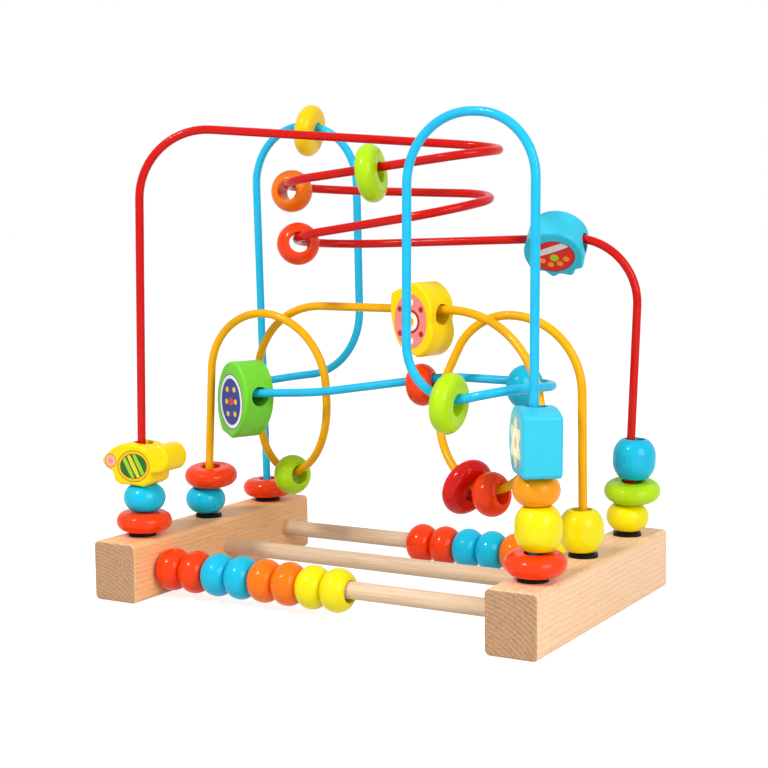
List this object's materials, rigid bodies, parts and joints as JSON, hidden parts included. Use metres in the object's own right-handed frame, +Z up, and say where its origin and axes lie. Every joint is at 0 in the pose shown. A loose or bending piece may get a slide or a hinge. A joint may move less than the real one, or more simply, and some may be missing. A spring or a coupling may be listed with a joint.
{
  "type": "bead maze",
  "caption": "Wooden bead maze: two blocks joined by rods carry three looped coloured wires, and wooden beads slide along the wires and rods.",
  "frame": {"origin": "centre of the toy's footprint, on the plane that it stands on", "axes": "+X from the left block to the right block, +Y along the blocks to the back, +Z up"},
  "size_m": [0.2974, 0.186, 0.2946],
  "materials": {
    "beech": "lacquered beech, satin",
    "rod_wood": "plain pale hardwood, sanded",
    "red_coat": "steel wire, glossy red coating",
    "blue_coat": "steel wire, glossy sky blue coating",
    "yellow_coat": "steel wire, glossy warm yellow coating",
    "black_plastic": "glossy black plastic",
    "red_lacquer": "turned wood, glossy red lacquer",
    "dark_red_lacquer": "turned wood, glossy dark red lacquer",
    "orange_lacquer": "turned wood, glossy orange lacquer",
    "yellow_lacquer": "turned wood, glossy yellow lacquer",
    "green_lacquer": "turned wood, glossy lime green lacquer",
    "blue_lacquer": "turned wood, glossy blue lacquer"
  },
  "bodies": {
    "frame": {"blue_wire": "blue_coat", "front_rod": "rod_wood", "left_block": "beech", "left_front_collar": "black_plastic", "left_middle_collar": "black_plastic", "left_rear_collar": "black_plastic", "middle_rod": "rod_wood", "rear_rod": "rod_wood", "red_wire": "red_coat", "right_block": "beech", "right_front_collar": "black_plastic", "right_middle_collar": "black_plastic", "right_rear_collar": "black_plastic", "yellow_wire": "yellow_coat"},
    "red_wire_green_disc_body": {"red_wire_green_disc": "green_lacquer"},
    "red_wire_orange_bead_body": {"red_wire_orange_bead": "orange_lacquer"},
    "red_wire_red_bead_body": {"red_wire_red_bead": "red_lacquer"},
    "red_wire_blue_block_body": {"red_wire_blue_block": "blue_lacquer"},
    "blue_wire_yellow_disc_body": {"blue_wire_yellow_disc": "yellow_lacquer"},
    "blue_wire_green_block_body": {"blue_wire_green_block": "green_lacquer"},
    "blue_wire_red_bead_body": {"blue_wire_red_bead": "red_lacquer"},
    "blue_wire_blue_bead_body": {"blue_wire_blue_bead": "blue_lacquer"},
    "blue_wire_green_disc_body": {"blue_wire_green_disc": "green_lacquer"},
    "yellow_wire_green_bead_body": {"yellow_wire_green_bead": "green_lacquer"},
    "yellow_wire_yellow_block_body": {"yellow_wire_yellow_block": "yellow_lacquer"},
    "yellow_wire_dark_red_disc_body": {"yellow_wire_dark_red_disc": "dark_red_lacquer"},
    "yellow_wire_red_bead_body": {"yellow_wire_red_bead": "red_lacquer"},
    "left_front_red_disc_body": {"left_front_red_disc": "red_lacquer"},
    "left_front_blue_bead_body": {"left_front_blue_bead": "blue_lacquer"},
    "left_front_yellow_block_body": {"left_front_yellow_block": "yellow_lacquer"},
    "left_middle_blue_bead_body": {"left_middle_blue_bead": "blue_lacquer"},
    "left_middle_red_disc_body": {"left_middle_red_disc": "red_lacquer"},
    "left_back_red_disc_body": {"left_back_red_disc": "red_lacquer"},
    "right_front_red_disc_body": {"right_front_red_disc": "red_lacquer"},
    "right_front_yellow_barrel_body": {"right_front_yellow_barrel": "yellow_lacquer"},
    "right_front_orange_bead_body": {"right_front_orange_bead": "orange_lacquer"},
    "right_front_sky_block_body": {"right_front_sky_block": "blue_lacquer"},
    "right_middle_yellow_barrel_body": {"right_middle_yellow_barrel": "yellow_lacquer"},
    "right_back_yellow_bead_body": {"right_back_yellow_bead": "yellow_lacquer"},
    "right_back_green_disc_body": {"right_back_green_disc": "green_lacquer"},
    "right_back_blue_barrel_body": {"right_back_blue_barrel": "blue_lacquer"},
    "front_rod_red_bead_1_body": {"front_rod_red_bead_1": "red_lacquer"},
    "front_rod_red_bead_2_body": {"front_rod_red_bead_2": "red_lacquer"},
    "front_rod_blue_bead_1_body": {"front_rod_blue_bead_1": "blue_lacquer"},
    "front_rod_blue_bead_2_body": {"front_rod_blue_bead_2": "blue_lacquer"},
    "front_rod_orange_bead_1_body": {"front_rod_orange_bead_1": "orange_lacquer"},
    "front_rod_orange_bead_2_body": {"front_rod_orange_bead_2": "orange_lacquer"},
    "front_rod_yellow_bead_1_body": {"front_rod_yellow_bead_1": "yellow_lacquer"},
    "front_rod_yellow_bead_2_body": {"front_rod_yellow_bead_2": "yellow_lacquer"},
    "rear_rod_yellow_bead_2_body": {"rear_rod_yellow_bead_2": "yellow_lacquer"},
    "rear_rod_yellow_bead_1_body": {"rear_rod_yellow_bead_1": "yellow_lacquer"},
    "rear_rod_orange_bead_2_body": {"rear_rod_orange_bead_2": "orange_lacquer"},
    "rear_rod_orange_bead_1_body": {"rear_rod_orange_bead_1": "orange_lacquer"},
    "rear_rod_blue_bead_2_body": {"rear_rod_blue_bead_2": "blue_lacquer"},
    "rear_rod_blue_bead_1_body": {"rear_rod_blue_bead_1": "blue_lacquer"},
    "rear_rod_red_bead_2_body": {"rear_rod_red_bead_2": "red_lacquer"},
    "rear_rod_red_bead_1_body": {"rear_rod_red_bead_1": "red_lacquer"}
  },
  "joints": [
    {"name": "red_wire_green_disc_slide", "type": "slide", "parent": "frame", "child": "red_wire_green_disc_body", "axis": [-0.9944, 0, -0.1053], "range_m": [-0.04, 0.039]},
    {"name": "red_wire_orange_bead_sweep", "type": "hinge", "parent": "frame", "child": "red_wire_orange_bead_body", "pos_m": [-0.02739, -0.00341, 0.24388], "axis": [0.1051, -0.0534, -0.993], "range_deg": [-75, 14]},
    {"name": "red_wire_red_bead_sweep", "type": "hinge", "parent": "frame", "child": "red_wire_red_bead_body", "pos_m": [-0.02038, -0.0019, 0.2123], "axis": [0.1353, -0.0712, -0.9882], "range_deg": [-47, 38]},
    {"name": "red_wire_blue_block_slide", "type": "slide", "parent": "frame", "child": "red_wire_blue_block_body", "axis": [0.9832, 0.1813, 0.0232], "range_m": [-0.09, 0.007]},
    {"name": "blue_wire_yellow_disc_sweep", "type": "hinge", "parent": "frame", "child": "blue_wire_yellow_disc_body", "pos_m": [-0.09559, 0.066, 0.24491], "axis": [0, 1, 0], "range_deg": [-97, 1.5]},
    {"name": "blue_wire_green_block_sweep", "type": "hinge", "parent": "frame", "child": "blue_wire_green_block_body", "pos_m": [-0.08353, 0.02622, 0.11778], "axis": [-0.0546, -0.0386, 0.9978], "range_deg": [-28, 21]},
    {"name": "blue_wire_red_bead_slide", "type": "slide", "parent": "frame", "child": "blue_wire_red_bead_body", "axis": [0.975, 0.1703, 0.1425], "range_m": [-0.05, 0.0025]},
    {"name": "blue_wire_blue_bead_sweep", "type": "hinge", "parent": "frame", "child": "blue_wire_blue_bead_body", "pos_m": [0.08488, -0.0233, 0.13146], "axis": [-0.0159, -0.0556, -0.9983], "range_deg": [-8, 45]},
    {"name": "blue_wire_green_disc_sweep", "type": "hinge", "parent": "frame", "child": "blue_wire_green_disc_body", "pos_m": [0.08235, -0.066, 0.15494], "axis": [0, 1, 0], "range_deg": [-17, 82]},
    {"name": "yellow_wire_green_bead_sweep", "type": "hinge", "parent": "frame", "child": "yellow_wire_green_bead_body", "pos_m": [-0.08378, 0.02221, 0.08604], "axis": [0.3076, 0.934, 0.1816], "range_deg": [-20, 97]},
    {"name": "yellow_wire_yellow_block_slide", "type": "slide", "parent": "frame", "child": "yellow_wire_yellow_block_body", "axis": [0.9958, -0.092, 0], "range_m": [-0.062, 0.009]},
    {"name": "yellow_wire_dark_red_disc_sweep", "type": "hinge", "parent": "frame", "child": "yellow_wire_dark_red_disc_body", "pos_m": [0.08897, -0.02167, 0.11819], "axis": [0.2663, 0.9438, -0.1957], "range_deg": [0, 50]},
    {"name": "yellow_wire_red_bead_sweep", "type": "hinge", "parent": "frame", "child": "yellow_wire_red_bead_body", "pos_m": [0.08446, -0.02067, 0.10285], "axis": [0.2322, 0.9327, -0.276], "range_deg": [-84, 0]},
    {"name": "left_front_red_disc_slide", "type": "slide", "parent": "frame", "child": "left_front_red_disc_body", "axis": [0.0218, 0, 0.9998], "range_m": [0, 0.05]},
    {"name": "left_front_blue_bead_slide", "type": "slide", "parent": "left_front_red_disc_body", "child": "left_front_blue_bead_body", "axis": [0.0218, 0, 0.9998], "range_m": [0, 0.05]},
    {"name": "left_front_yellow_block_slide", "type": "slide", "parent": "left_front_blue_bead_body", "child": "left_front_yellow_block_body", "axis": [0.0218, 0, 0.9998], "range_m": [0, 0.05]},
    {"name": "left_middle_blue_bead_slide", "type": "slide", "parent": "frame", "child": "left_middle_blue_bead_body", "axis": [0.0562, 0, 0.9984], "range_m": [0, 0.0125]},
    {"name": "left_middle_red_disc_slide", "type": "slide", "parent": "left_middle_blue_bead_body", "child": "left_middle_red_disc_body", "axis": [0.0562, 0, 0.9984], "range_m": [0, 0.0125]},
    {"name": "left_back_red_disc_slide", "type": "slide", "parent": "frame", "child": "left_back_red_disc_body", "axis": [-0.0206, 0, 0.9998], "range_m": [0, 0.185]},
    {"name": "right_front_red_disc_slide", "type": "slide", "parent": "frame", "child": "right_front_red_disc_body", "axis": [0.0083, 0, 1], "range_m": [0, 0.0023]},
    {"name": "right_front_yellow_barrel_slide", "type": "slide", "parent": "right_front_red_disc_body", "child": "right_front_yellow_barrel_body", "axis": [0.0083, 0, 1], "range_m": [0, 0.0023]},
    {"name": "right_front_orange_bead_slide", "type": "slide", "parent": "right_front_yellow_barrel_body", "child": "right_front_orange_bead_body", "axis": [0.0083, 0, 1], "range_m": [0, 0.0023]},
    {"name": "right_front_sky_block_slide", "type": "slide", "parent": "right_front_orange_bead_body", "child": "right_front_sky_block_body", "axis": [0.0083, 0, 1], "range_m": [0, 0.0023]},
    {"name": "right_middle_yellow_barrel_slide", "type": "slide", "parent": "frame", "child": "right_middle_yellow_barrel_body", "axis": [-0.0105, 0, 0.9999], "range_m": [0, 0.052]},
    {"name": "right_back_yellow_bead_slide", "type": "slide", "parent": "frame", "child": "right_back_yellow_bead_body", "axis": [0.0418, 0, 0.9991], "range_m": [0, 0.026]},
    {"name": "right_back_green_disc_slide", "type": "slide", "parent": "right_back_yellow_bead_body", "child": "right_back_green_disc_body", "axis": [0.0418, 0, 0.9991], "range_m": [0, 0.026]},
    {"name": "right_back_blue_barrel_slide", "type": "slide", "parent": "right_back_green_disc_body", "child": "right_back_blue_barrel_body", "axis": [0.0418, 0, 0.9991], "range_m": [0, 0.026]},
    {"name": "front_rod_red_bead_1_slide", "type": "slide", "parent": "frame", "child": "front_rod_red_bead_1_body", "axis": [1, 0, 0], "range_m": [0, 0.0118]},
    {"name": "front_rod_red_bead_2_slide", "type": "slide", "parent": "front_rod_red_bead_1_body", "child": "front_rod_red_bead_2_body", "axis": [1, 0, 0], "range_m": [0, 0.0118]},
    {"name": "front_rod_blue_bead_1_slide", "type": "slide", "parent": "front_rod_red_bead_2_body", "child": "front_rod_blue_bead_1_body", "axis": [1, 0, 0], "range_m": [0, 0.0118]},
    {"name": "front_rod_blue_bead_2_slide", "type": "slide", "parent": "front_rod_blue_bead_1_body", "child": "front_rod_blue_bead_2_body", "axis": [1, 0, 0], "range_m": [0, 0.0118]},
    {"name": "front_rod_orange_bead_1_slide", "type": "slide", "parent": "front_rod_blue_bead_2_body", "child": "front_rod_orange_bead_1_body", "axis": [1, 0, 0], "range_m": [0, 0.0118]},
    {"name": "front_rod_orange_bead_2_slide", "type": "slide", "parent": "front_rod_orange_bead_1_body", "child": "front_rod_orange_bead_2_body", "axis": [1, 0, 0], "range_m": [0, 0.0118]},
    {"name": "front_rod_yellow_bead_1_slide", "type": "slide", "parent": "front_rod_orange_bead_2_body", "child": "front_rod_yellow_bead_1_body", "axis": [1, 0, 0], "range_m": [0, 0.0118]},
    {"name": "front_rod_yellow_bead_2_slide", "type": "slide", "parent": "front_rod_yellow_bead_1_body", "child": "front_rod_yellow_bead_2_body", "axis": [1, 0, 0], "range_m": [0, 0.0118]},
    {"name": "rear_rod_yellow_bead_2_slide", "type": "slide", "parent": "frame", "child": "rear_rod_yellow_bead_2_body", "axis": [-1, 0, 0], "range_m": [0, 0.0118]},
    {"name": "rear_rod_yellow_bead_1_slide", "type": "slide", "parent": "rear_rod_yellow_bead_2_body", "child": "rear_rod_yellow_bead_1_body", "axis": [-1, 0, 0], "range_m": [0, 0.0118]},
    {"name": "rear_rod_orange_bead_2_slide", "type": "slide", "parent": "rear_rod_yellow_bead_1_body", "child": "rear_rod_orange_bead_2_body", "axis": [-1, 0, 0], "range_m": [0, 0.0118]},
    {"name": "rear_rod_orange_bead_1_slide", "type": "slide", "parent": "rear_rod_orange_bead_2_body", "child": "rear_rod_orange_bead_1_body", "axis": [-1, 0, 0], "range_m": [0, 0.0118]},
    {"name": "rear_rod_blue_bead_2_slide", "type": "slide", "parent": "rear_rod_orange_bead_1_body", "child": "rear_rod_blue_bead_2_body", "axis": [-1, 0, 0], "range_m": [0, 0.0118]},
    {"name": "rear_rod_blue_bead_1_slide", "type": "slide", "parent": "rear_rod_blue_bead_2_body", "child": "rear_rod_blue_bead_1_body", "axis": [-1, 0, 0], "range_m": [0, 0.0118]},
    {"name": "rear_rod_red_bead_2_slide", "type": "slide", "parent": "rear_rod_blue_bead_1_body", "child": "rear_rod_red_bead_2_body", "axis": [-1, 0, 0], "range_m": [0, 0.0118]},
    {"name": "rear_rod_red_bead_1_slide", "type": "slide", "parent": "rear_rod_red_bead_2_body", "child": "rear_rod_red_bead_1_body", "axis": [-1, 0, 0], "range_m": [0, 0.0118]}
  ]
}
